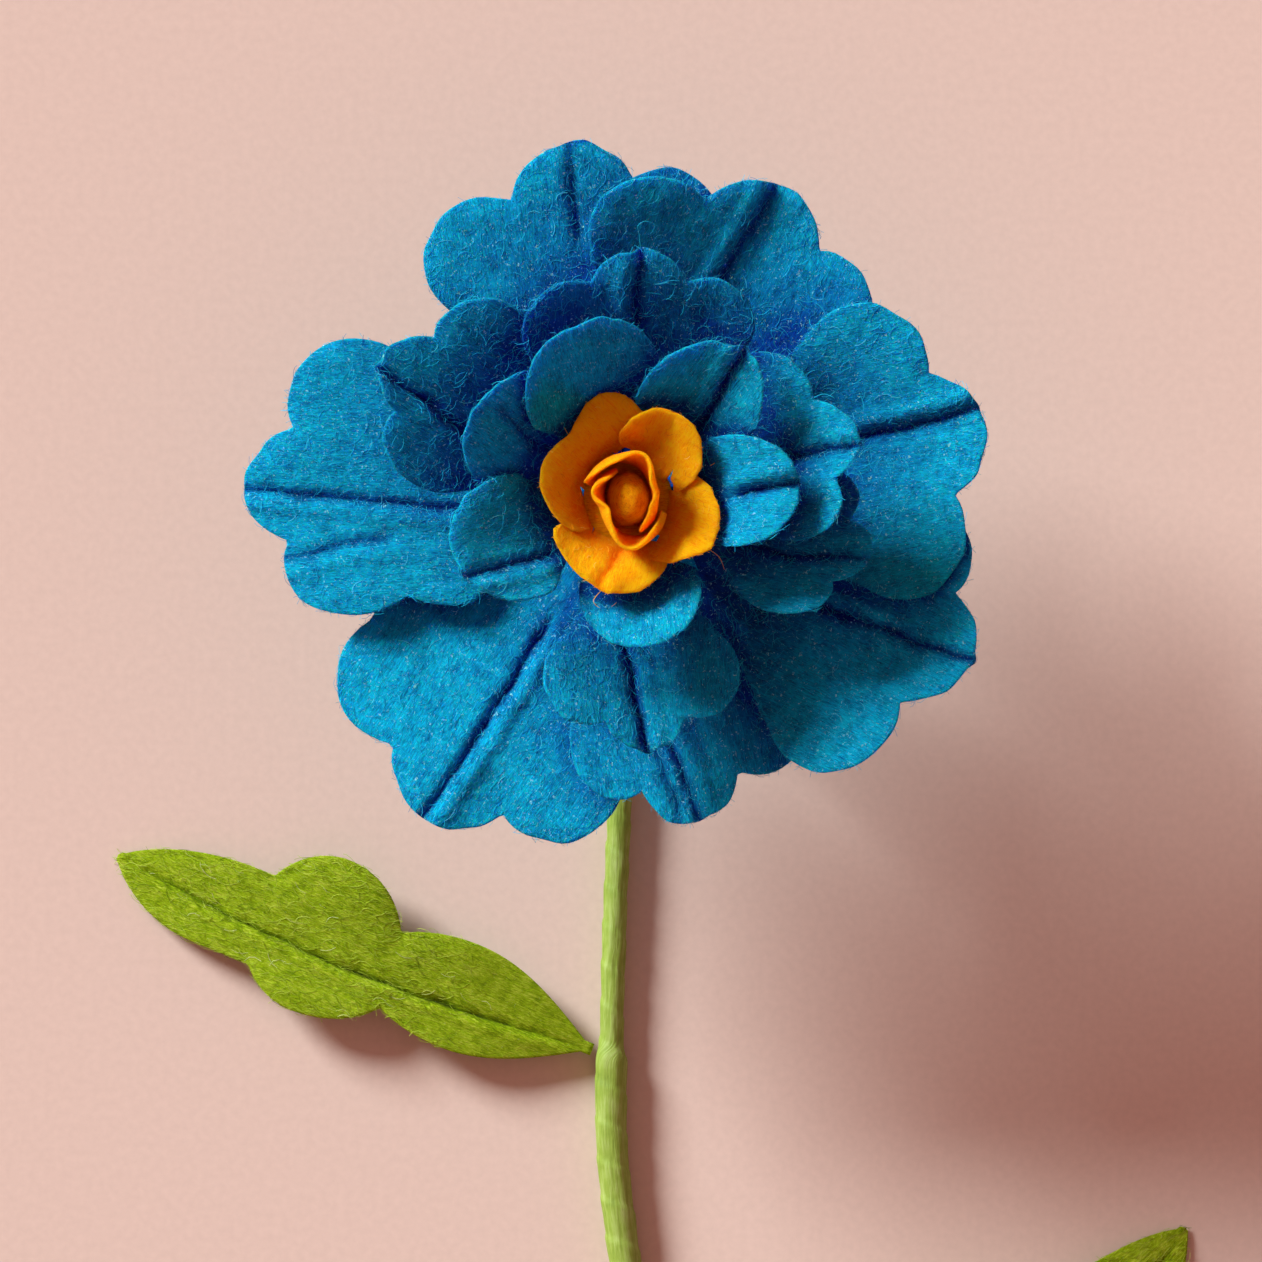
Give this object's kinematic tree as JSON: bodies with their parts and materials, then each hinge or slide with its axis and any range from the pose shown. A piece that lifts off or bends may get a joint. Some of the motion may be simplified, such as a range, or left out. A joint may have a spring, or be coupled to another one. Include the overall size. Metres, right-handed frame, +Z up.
{
  "type": "felt flower on a wrapped wire stem",
  "caption": "Felt flower with blue lobed petals, a yellow middle, green felt leaves and a tape-wrapped wire stem, lying on its back.",
  "frame": {"origin": "middle of the flower's box, on the surface it lies on", "axes": "+Y from the stem's cut end to the flower head, +Z up, out of the face of the flower, +X to the right as seen from above"},
  "size_m": [0.151, 0.2752, 0.0789],
  "materials": {
    "blue_felt": "matte",
    "yellow_felt": "matte",
    "green_felt": "matte",
    "crepe_tape": "matte",
    "steel_wire": "satin"
  },
  "bodies": {
    "root": {"stem_wire": "steel_wire", "stem_wrap": "crepe_tape", "flower_core": "blue_felt", "backing": "blue_felt", "outer_petal_1": "blue_felt", "outer_petal_2": "blue_felt", "outer_petal_3": "blue_felt", "outer_petal_4": "blue_felt", "outer_petal_5": "blue_felt", "outer_petal_6": "blue_felt", "outer_petal_7": "blue_felt", "middle_petal_1": "blue_felt", "middle_petal_2": "blue_felt", "middle_petal_3": "blue_felt", "middle_petal_4": "blue_felt", "middle_petal_5": "blue_felt", "inner_petal_1": "blue_felt", "inner_petal_2": "blue_felt", "inner_petal_3": "blue_felt", "inner_petal_4": "blue_felt", "inner_petal_5": "blue_felt", "inner_petal_6": "blue_felt", "yellow_petal_1": "yellow_felt", "yellow_petal_2": "yellow_felt", "yellow_petal_3": "yellow_felt", "yellow_petal_4": "yellow_felt", "bud_petal_1": "yellow_felt", "bud_petal_2": "yellow_felt", "bud_ball": "yellow_felt", "leaf_left": "green_felt", "leaf_right": "green_felt"}
  },
  "joints": []
}
